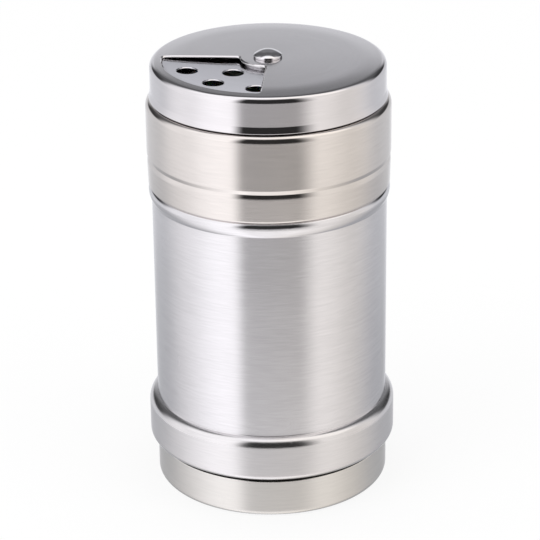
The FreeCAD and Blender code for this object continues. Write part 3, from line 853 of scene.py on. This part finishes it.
# hole radius, ring radius, first and last angle from +X, number of holes
holeRings = [
    (2.03, 16.8, 199.4, 262.2, 3),
    (2.03, 9.65, 171.0, 225.0, 2),
    (1.3, 17.0, 93.0, 147.0, 4),
    (1.3, 11.5, 100.0, 140.0, 3),
    (0.75, 17.6, 23.0, 73.0, 6),
    (0.75, 13.7, 23.0, 73.0, 5),
    (0.75, 9.8, 24.0, 72.0, 4),
]

lidLook = dict(
    colour=(0.71, 0.670, 0.645), dull=0.965, bright=1.03, roughness=0.19, grain=0.05,
    smear=0.04, wear=0.09, bump=0.014, anisotropy=0.55, fineLines=5600.0,
    fineAround=260.0, broadLines=2600.0, broadAround=130.0, clouds=110.0,
    zone=dict(start=88.9, colour=(0.715, 0.702, 0.742), rough=-0.05))


def plateHeight(r):
    # the sprinkle plate's upper face, flat in the middle and rising to its edge
    run = min(max(r - lid["seatRadius"], 0.0), plateReach - lid["seatRadius"])
    return lid["plateEdge"] - lid["dish"] + dishRadius - math.sqrt(dishRadius ** 2 - run ** 2)


def makeLid():
    material = steelFinish("lidBrushedSteel", lidLook)
    stepRise = lid["stepMiddle"] - lid["stepBottom"]
    stepIn = lid["bandRadius"] - lid["collarRadius"] + lid["stepDepth"]
    skin = [
        corner(lid["edgeInner"], lid["bottom"]),
        corner(lid["footRadius"], lid["bottom"], lid["edgeRound"]),
        corner(lid["bandRadius"], lid["stepBottom"], bow=bowRadius(stepRise, stepIn),
               spacing=lid["stepSpacing"]),
        corner(lid["collarRadius"] - lid["stepDepth"], lid["stepMiddle"]),
        corner(lid["collarRadius"], lid["stepTop"], lid["stepRound"]),
        corner(lid["collarRadius"], lid["shoulder"], lid["shoulderRound"]),
        corner(lid["bossRadius"], lid["shoulder"], lid["bossFootRound"]),
        corner(lid["bossRadius"], lid["plateEdge"], lid["bossTopRound"]),
        corner(plateReach, lid["plateEdge"]),
    ]
    outer, inner = sheetSides(skin, wall)
    turned = turnOutline("lidTurned", tracePath(inner[::-1] + outer, closed=False), material)

    bore = circleOpening((0, 0), lid["bore"], boreEdge["facets"])
    boreRows = edgeSection(boreEdge)
    holeRows = edgeSection(holeEdge)
    openings = [bore]
    centres = []
    radii = []
    for holeRadius, ring, first, last, count in holeRings:
        for k in range(count):
            angle = math.radians(first + (last - first) * k / (count - 1))
            centre = (ring * math.cos(angle), ring * math.sin(angle))
            openings.append(circleOpening(centre, holeRadius, holeEdge["facets"]))
            centres.append((centre[0] * mm, centre[1] * mm, 0))
            radii.append(holeRadius * mm)
    faces = bothFaces(plateReach, openings, [boreRows] + [holeRows] * len(centres), plateHeight)
    holePlaces = pointMesh("holePlaces", centres, holeRadius=radii)
    sectionObject = bpy.data.objects.new("holeSection", pointMesh(
        "holeSection", [(margin * mm, 0, -drop * mm) for margin, drop in holeRows]))
    bpy.context.scene.collection.objects.link(sectionObject)
    edges = runShapeTree("holeEdges", holeTree, holePlaces, {
        "Section": sectionObject,
        "Facets": holeEdge["facets"],
        "Seat Radius": lid["seatRadius"] * mm,
        "Seat Height": (lid["plateEdge"] - lid["dish"]) * mm,
        "Dish Radius": dishRadius * mm,
        "Weld Gap": weldGap,
        "Material": material,
    })
    bpy.data.objects.remove(sectionObject)
    boreWall = edgeWall(bore, boreRows, plateHeight)
    mesh = joinMeshes("lidShell", [turned] + faces + [edges, boreWall], material)
    placePiece("lidShell", mesh, "lid_shell", lid["body"])


liner = dict(
    bore=23.0, outer=24.0, bottom=64.7, footRound=0.35, grooveRadius=23.7, grooveBottom=69.05,
    grooveTop=72.45, top=81.6, headRound=0.95, upperBore=22.9, flangeBottom=77.0,
    flangeTop=77.9, flangeBore=19.6, boreRound=0.15, flangeRound=0.2, body="lid",
    slot="liner_plastic")

linerThread = dict(depth=0.8, lead=4.0, start=69.2, turns=1.25, rootWidth=2.4, crestWidth=1.2)

linerLook = dict(
    colour=[0.86, 0.86, 0.84], shadowTone=[0.81, 0.81, 0.785], roughness=0.46, tooth=4200.0,
    flow=120.0, bump=0.25, depth=0.12)


def makeLiner():
    outline = [
        corner(liner["bore"], liner["bottom"], liner["boreRound"]),
        corner(liner["outer"], liner["bottom"], liner["footRound"]),
        corner(liner["outer"], liner["grooveBottom"]),
        corner(liner["grooveRadius"], liner["grooveBottom"]),
        corner(liner["grooveRadius"], liner["grooveTop"]),
        corner(liner["outer"], liner["grooveTop"]),
        corner(liner["outer"], liner["top"], liner["headRound"]),
        corner(liner["upperBore"], liner["top"], liner["flangeRound"]),
        corner(liner["upperBore"], liner["flangeTop"], liner["boreRound"]),
        corner(liner["flangeBore"], liner["flangeTop"], liner["flangeRound"]),
        corner(liner["flangeBore"], liner["flangeBottom"], liner["flangeRound"]),
        corner(liner["bore"], liner["flangeBottom"], liner["boreRound"], spacing=threadSpacing,
               pull=-1.0),
    ]
    makeTurned("threadLiner", "thread_liner", liner, mouldedFinish("linerPlastic", linerLook),
               tracePath(outline), linerThread)


gasket = dict(
    inner=20.3, outer=22.5, bottom=76.0, top=77.0, rounding=0.25, body="gasket",
    slot="gasket_silicone")

gasketLook = dict(
    colour=[0.72, 0.73, 0.72], shadowTone=[0.66, 0.67, 0.66], roughness=0.38, tooth=3000.0,
    flow=150.0, bump=0.15, depth=0.3)


def makeGasket():
    outline = [
        corner(gasket["inner"], gasket["bottom"], gasket["rounding"]),
        corner(gasket["outer"], gasket["bottom"], gasket["rounding"]),
        corner(gasket["outer"], gasket["top"], gasket["rounding"]),
        corner(gasket["inner"], gasket["top"], gasket["rounding"]),
    ]
    makeTurned("lidGasket", "lid_gasket", gasket, mouldedFinish("gasketSilicone", gasketLook),
               tracePath(outline))


makeLid()
makeLiner()
makeGasket()
print("lid, liner and gasket made")


# Turning cover and its rivet

cover = dict(
    radius=23.5, flareRadius=23.85, flareTop=83.9, flareRound=0.5, bottom=82.5, edgeRound=0.16,
    top=89.95, topRound=1.3, flatMargin=0.15, crown=0.1, droop=0.16, droopFrom=18.0,
    seatRadius=5.4, bore=1.55, body="cover", slot="cover_steel")

window = dict(
    inner=5.55, outer=20.95, angle=90.0, middle=220.6, rounding=0.6, spacing=0.5,
    edge=dict(width=0.27, depth=0.23, rounding=0.04, lower=0.05))

coverReach = cover["radius"] - cover["topRound"] - cover["flatMargin"]
crownRadius = bowRadius(coverReach - cover["seatRadius"], cover["crown"])

coverLook = dict(
    colour=(0.722, 0.70, 0.714), dull=0.97, bright=1.02, roughness=0.16, grain=0.03,
    smear=0.03, wear=0.09, bump=0.015, anisotropy=0.3, fineLines=6800.0, fineAround=200.0,
    # the walls of the window and the bore are painted near-white: partly bare cut steel, partly
    # painted highlight
    broadLines=2600.0, broadAround=120.0, clouds=120.0, cut=dict(reach=21.6, start=89.5))


def coverHeight(r):
    # a crowned sheet whose last stretch droops towards the rim
    run = min(max(r - cover["seatRadius"], 0.0), coverReach - cover["seatRadius"])
    crowned = math.sqrt(crownRadius ** 2 - run ** 2) - crownRadius + cover["crown"]
    share = max(r - cover["droopFrom"], 0.0) / (coverReach - cover["droopFrom"])
    return cover["top"] + crowned + cover["droop"] * (1 - share ** 2)


def makeCover():
    material = steelFinish("coverPolishedSteel", coverLook)
    step = 0.01  # over which the droop's slope is read
    slope = (coverHeight(coverReach - step) - cover["top"]) / step
    fall = slope * (cover["radius"] - coverReach)  # the rim goes on down at the droop's slope
    skin = [
        corner(cover["flareRadius"], cover["bottom"], cover["edgeRound"]),
        corner(cover["radius"], cover["flareTop"], cover["flareRound"]),
        corner(cover["radius"], cover["top"] - fall, cover["topRound"]),
        corner(coverReach, cover["top"]),
    ]
    outer, inner = sheetSides(skin, wall)
    turned = turnOutline("coverTurned", tracePath(inner[::-1] + outer, closed=False), material)
    bore = circleOpening((0, 0), cover["bore"], boreEdge["facets"])
    openings = [bore, sectorOpening(window)]
    sections = [edgeSection(boreEdge), edgeSection(window["edge"])]
    faces = bothFaces(coverReach, openings, sections, coverHeight)
    walls = [edgeWall(opening, rows, coverHeight) for opening, rows in zip(openings, sections)]
    mesh = joinMeshes("rotatingCover", [turned] + faces + walls, material)
    placePiece("rotatingCover", mesh, "rotating_cover", cover["body"])


rivet = dict(
    shank=1.5, head=2.85, headBase=90.22, headEdge=0.45, headHeight=1.56, rimRound=0.34,
    domeSpacing=0.12, tail=2.6, tailBottom=86.92, tailTop=87.72, tailRound=0.4, body="lid",
    slot="rivet_steel")

rivetLook = dict(
    colour=(0.76, 0.745, 0.765), dull=0.96, bright=1.03, roughness=0.12, grain=0.03,
    smear=0.04, wear=0.0, bump=0.02, anisotropy=0.0, fineLines=5000.0, fineAround=300.0,
    broadLines=1500.0, broadAround=200.0, clouds=500.0)


def makeRivet():
    outline = [
        corner(0.0, rivet["tailBottom"]),
        corner(rivet["tail"], rivet["tailBottom"], rivet["tailRound"]),
        corner(rivet["tail"], rivet["tailTop"]),
        corner(rivet["shank"], rivet["tailTop"]),
        corner(rivet["shank"], rivet["headBase"]),
        corner(rivet["head"], rivet["headBase"]),
        corner(rivet["head"], rivet["headBase"] + rivet["headEdge"], rivet["rimRound"],
               bow=bowRadius(rivet["head"], rivet["headHeight"] - rivet["headEdge"]),
               spacing=rivet["domeSpacing"]),
        corner(0.0, rivet["headBase"] + rivet["headHeight"]),
    ]
    makeTurned("pivotRivet", "pivot_rivet", rivet, steelFinish("rivetPolishedSteel", rivetLook),
               tracePath(outline, closed=False))


washers = dict(
    # name, node, outline in radius and height
    rings=[
        ("spacerWasher", "spacer_washer",
         [(1.6, 89.22), (4.6, 89.22), (4.6, 89.79), (1.6, 89.79)]),
        ("springWasher", "spring_washer",
         [(1.6, 88.57), (3.7, 88.22), (3.7, 88.47), (1.6, 88.82)]),
        ("backingWasher", "backing_washer",
         [(1.6, 87.72), (4.2, 87.72), (4.2, 88.22), (1.6, 88.22)])],
    body="lid", slot="washer_steel")

washerLook = dict(
    colour=(0.66, 0.655, 0.65), dull=0.9, bright=1.05, roughness=0.34, grain=0.08,
    smear=0.08, wear=0.05, bump=0.10, anisotropy=0.4, fineLines=7000.0, fineAround=200.0,
    broadLines=2500.0, broadAround=100.0, clouds=300.0)


def makeWashers():
    material = steelFinish("washerSteel", washerLook)
    for name, node, outline in washers["rings"]:
        path = tracePath([corner(r, z) for r, z in outline])
        makeTurned(name, node, washers, material, path)


makeCover()
makeRivet()
makeWashers()
print("cover, rivet and washers made")


# Floor, light and camera

studio = dict(
    floor=dict(reach=3.0, tone=0.94, mottle=0.01, mottleScale=8.0, whiteShare=0.82),
    lamps=[dict(name="keyLamp", watts=1.1, size=0.5, place=(-0.45, -0.35, 0.65)),
           dict(name="fillLamp", watts=0.62, size=0.5, place=(0.50, -0.30, 0.55))],
    lampAim=(0.0, 0.0, 0.045), ambient=0.96,
    # what the steel reflects, in degrees: azimuth from the viewer's side towards +X, elevation
    # from the horizon; levels are parts of white
    left=dict(far=-130.0, near=-46.0, farLevel=0.52, nearLevel=1.38),
    right=dict(near=46.0, far=126.0, nearLevel=1.08, farLevel=0.49),
    sidesMeet=dict(place=0.0, soft=10.0),
    back=dict(start=150.0, full=178.0, level=1.0),
    flag=dict(left=-30.0, leftSoft=7.0, right=37.0, rightSoft=12.0, bottom=-13.0,
              bottomSoft=2.5, level=0.03),
    frontFloor=dict(low=-28.2, high=-26.6, dipEnd=-24.0, rise=-21.0, lowLevel=1.2,
                    dipLevel=0.22, highLevel=0.52),
    sideFloor=dict(start=92.0, soft=20.0, low=-25.0, high=-21.0, lift=1.5),
    panels=dict(top=56.0, soft=8.0, reach=117.0, reachSoft=12.0),
    curtain=dict(top=24.0, soft=8.0, level=0.05),
    backdrop=dict(reach=24.0, soft=8.0, bright=14.0, dark=26.0, brightLevel=0.76,
                  darkLevel=0.24),
    strip=dict(back=84.0, front=118.0, soft=4.0, bottom=35.0, bottomSoft=10.0, level=1.35),
    sky=0.13, horizon=dict(place=5.0, soft=4.0), cool=(0.985, 0.98, 1.0, 1.0),
    warm=dict(start=-60.0, full=80.0, end=130.0, tint=(1.0, 0.965, 0.925, 1.0)),
    far=dict(start=115.0, soft=20.0, tint=(0.965, 0.98, 1.02, 1.0)))


def buildWorld():
    world = bpy.data.worlds.new("softStudio")
    bpy.context.scene.world = world
    world.use_nodes = True
    bench = Bench(world.node_tree)
    shader = world.node_tree.nodes["Background"]
    way = bench.add("ShaderNodeTexCoord", None, None, "Generated")
    x, y, z = bench.parts(way)
    degree = math.radians(1.0)
    azimuth = bench.maths("ARCTAN2", x, 0.0 - y) / degree
    turned = bench.maths("ABSOLUTE", azimuth)
    elevation = bench.maths("ARCTAN2", z, bench.maths("SQRT", x * x + y * y)) / degree
    overhead = bench.maths("ARCTAN2", z, y) / degree  # 0 at the back, 90 straight up

    def blend(share, first, second):
        return first + (second - first) * share

    def edge(value, place, soft, start=0.0, end=1.0):
        return bench.smooth(value, place - soft, place + soft, start, end)

    left = studio["left"]
    right = studio["right"]
    meet = studio["sidesMeet"]
    around = blend(edge(azimuth, meet["place"], meet["soft"]),
                   bench.smooth(azimuth, left["far"], left["near"],
                                left["farLevel"], left["nearLevel"]),
                   bench.smooth(azimuth, right["near"], right["far"],
                                right["nearLevel"], right["farLevel"]))
    flag = studio["flag"]
    front = edge(azimuth, flag["left"], flag["leftSoft"]) \
        * edge(azimuth, flag["right"], flag["rightSoft"], 1.0, 0.0)

    back = studio["back"]
    frontFloor = studio["frontFloor"]
    side = studio["sideFloor"]
    lift = bench.smooth(elevation, side["low"], side["high"], 1.0, side["lift"])
    around = around * blend(edge(turned, side["start"], side["soft"]), 1.0, lift)
    ground = blend(bench.smooth(turned, back["start"], back["full"]), around, back["level"])
    nearFloor = bench.smooth(elevation, frontFloor["low"], frontFloor["high"],
                             frontFloor["lowLevel"], frontFloor["dipLevel"])
    nearFloor = nearFloor + bench.smooth(elevation, frontFloor["dipEnd"], frontFloor["rise"],
                                         0.0, frontFloor["highLevel"] - frontFloor["dipLevel"])
    nearFloor = blend(edge(elevation, flag["bottom"], flag["bottomSoft"]), nearFloor,
                      flag["level"])
    ground = blend(front, ground, nearFloor)

    panels = studio["panels"]
    backdrop = studio["backdrop"]
    curtain = studio["curtain"]
    strip = studio["strip"]
    horizon = studio["horizon"]
    sky = blend(edge(elevation, curtain["top"], curtain["soft"]), curtain["level"],
                studio["sky"])
    behind = bench.smooth(elevation, backdrop["bright"], backdrop["dark"],
                          backdrop["brightLevel"], backdrop["darkLevel"])
    sky = blend(edge(turned, 180.0 - backdrop["reach"], backdrop["soft"]), sky, behind)
    lit = edge(turned, panels["reach"], panels["reachSoft"], 1.0, 0.0)
    sky = blend(lit, sky, around)
    sky = blend(edge(elevation, panels["top"], panels["soft"]), sky, studio["sky"])
    sky = blend(front * edge(elevation, panels["top"], panels["soft"], 1.0, 0.0),
                sky, flag["level"])
    over = edge(overhead, strip["back"], strip["soft"]) \
        * edge(overhead, strip["front"], strip["soft"], 1.0, 0.0) \
        * edge(elevation, strip["bottom"], strip["bottomSoft"])
    sky = blend(over, sky, strip["level"])
    steelView = blend(edge(elevation, horizon["place"], horizon["soft"]), ground, sky)

    rays = bench.add("ShaderNodeLightPath", None, None, "Is Glossy Ray")
    seen = bench.add("ShaderNodeLightPath", None, None, "Is Camera Ray")
    through = bench.add("ShaderNodeLightPath", None, None, "Is Transmission Ray")
    strength = blend(rays, studio["ambient"], steelView)
    strength = blend(bench.maths("MAXIMUM", seen, through), strength, 1.0)
    white = (1.0, 1.0, 1.0, 1.0)
    warm = studio["warm"]
    far = studio["far"]
    warmth = bench.smooth(azimuth, warm["start"], warm["full"]) \
        * bench.smooth(azimuth, warm["full"], warm["end"], 1.0, 0.0)
    tint = bench.mixColours(warmth, studio["cool"], warm["tint"])
    tint = bench.mixColours(edge(turned, far["start"], far["soft"]), tint, far["tint"])
    tint = bench.mixColours(rays, white, tint)
    bench.tree.links.new(tint.socket, shader.inputs["Color"])
    bench.tree.links.new(strength.socket, shader.inputs["Strength"])


def buildFloor():
    settings = studio["floor"]
    reach = settings["reach"]
    mesh = bpy.data.meshes.new("floor")
    mesh.from_pydata([(-reach, -reach, 0), (reach, -reach, 0), (reach, reach, 0),
                      (-reach, reach, 0)], [], [(0, 1, 2, 3)])
    floor = bpy.data.objects.new("floor", mesh)
    bpy.context.scene.collection.objects.link(floor)
    material = bpy.data.materials.new("paleFloor")
    material.use_nodes = True
    bench = Bench(material.node_tree)
    shader = material.node_tree.nodes["Principled BSDF"]
    place = bench.add("ShaderNodeTexCoord", None, None, "Object")
    mottle = bench.add("ShaderNodeTexNoise", None,
                       {"Vector": place, "Scale": settings["mottleScale"]})
    low = [settings["tone"] - settings["mottle"]] * 3 + [1.0]
    high = [settings["tone"] + settings["mottle"]] * 3 + [1.0]
    bench.tree.links.new(bench.mixColours(mottle, low, high).socket,
                         shader.inputs["Base Color"])
    shader.inputs["Roughness"].default_value = 1.0
    shader.inputs["Specular IOR Level"].default_value = 0.0
    seen = bench.add("ShaderNodeLightPath", None, None, "Is Camera Ray")
    white = bench.add("ShaderNodeEmission", None, {"Color": (1.0, 1.0, 1.0, 1.0)})
    mixed = bench.add("ShaderNodeMixShader", None, {
        0: seen * settings["whiteShare"], 1: Wire(bench, shader.outputs["BSDF"]), 2: white})
    bench.tree.links.new(mixed.socket,
                         material.node_tree.nodes["Material Output"].inputs["Surface"])
    mesh.materials.append(material)
    floor.visible_glossy = False


def addLamp(settings):
    lamp = bpy.data.lights.new(settings["name"], "AREA")
    lamp.energy = settings["watts"]
    lamp.shape = "DISK"
    lamp.size = settings["size"]
    place = Vector(settings["place"])
    holder = bpy.data.objects.new(settings["name"], lamp)
    holder.location = place
    holder.rotation_mode = "QUATERNION"
    holder.rotation_quaternion = (Vector(studio["lampAim"]) - place).to_track_quat("-Z", "Y")
    holder.visible_glossy = False
    bpy.context.scene.collection.objects.link(holder)


photoView = dict(
    place=(0.0, -0.46782, 0.24778), aim=(-0.00007, 0.0, 0.04426), roll=-0.673, lens=166.1,
    sensor=36.0, near=0.01, far=20.0)


def buildCamera():
    camera = bpy.data.cameras.new("photoCamera")
    camera.lens = photoView["lens"]
    camera.sensor_width = photoView["sensor"]
    camera.clip_start = photoView["near"]
    camera.clip_end = photoView["far"]
    holder = bpy.data.objects.new("photoCamera", camera)
    place = Vector(photoView["place"])
    facing = (Vector(photoView["aim"]) - place).to_track_quat("-Z", "Y")
    holder.location = place
    holder.rotation_mode = "QUATERNION"
    holder.rotation_quaternion = facing @ Quaternion((0, 0, 1), math.radians(photoView["roll"]))
    bpy.context.scene.collection.objects.link(holder)
    bpy.context.scene.camera = holder


buildWorld()
buildFloor()
for lampSettings in studio["lamps"]:
    addLamp(lampSettings)
buildCamera()
bpy.context.scene.view_settings.view_transform = "Standard"
print("floor, light and camera set")
